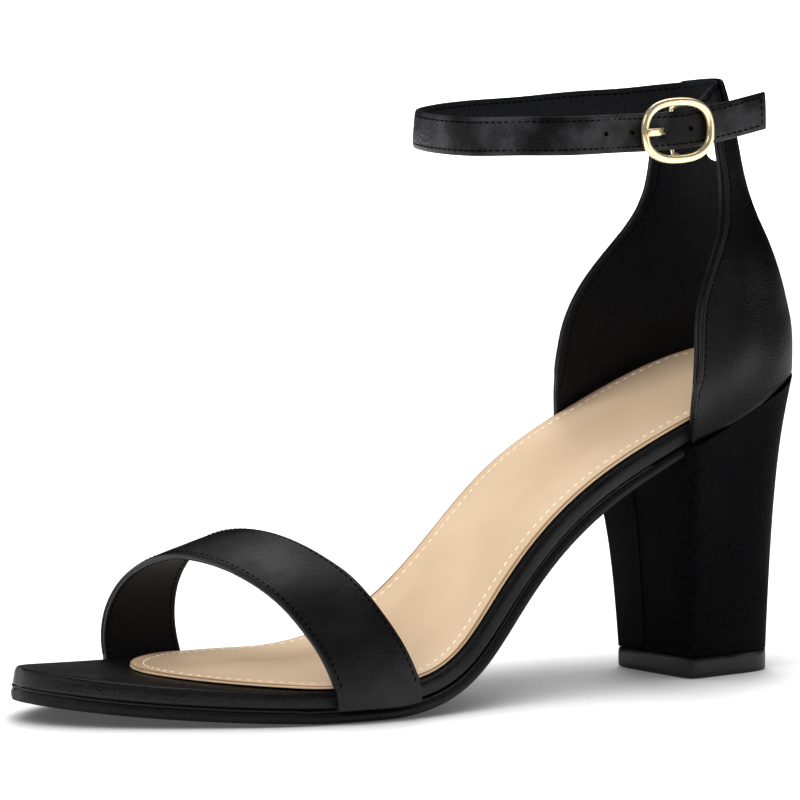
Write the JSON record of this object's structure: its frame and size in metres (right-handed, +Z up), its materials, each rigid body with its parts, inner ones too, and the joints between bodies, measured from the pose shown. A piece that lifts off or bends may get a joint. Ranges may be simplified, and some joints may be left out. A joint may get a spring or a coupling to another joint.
{
  "type": "block heel sandal",
  "caption": "Left women's block heel sandal: one toe band, a closed heel counter, and a buckled ankle strap held by a tab at the back.",
  "frame": {"origin": "middle of the heel tip's base, on the floor", "axes": "+Z up, -Y to the toe, +X to the outer side of the foot"},
  "size_m": [0.0834, 0.2233, 0.1582],
  "materials": {
    "satin": "satin",
    "sole_wrap": "satin",
    "sock_leather": "smooth",
    "outsole_rubber": "matte",
    "tip_plastic": "matte",
    "pale_gold": "polished"
  },
  "bodies": {
    "root": {"footbed": "sole_wrap", "outsole": "outsole_rubber", "insole": "sock_leather", "heel_tip": "tip_plastic", "heel_block": "satin", "vamp_strap": "satin", "heel_counter": "satin", "ankle_strap": "satin", "buckle_frame": "pale_gold", "buckle_prong": "pale_gold"}
  },
  "joints": []
}
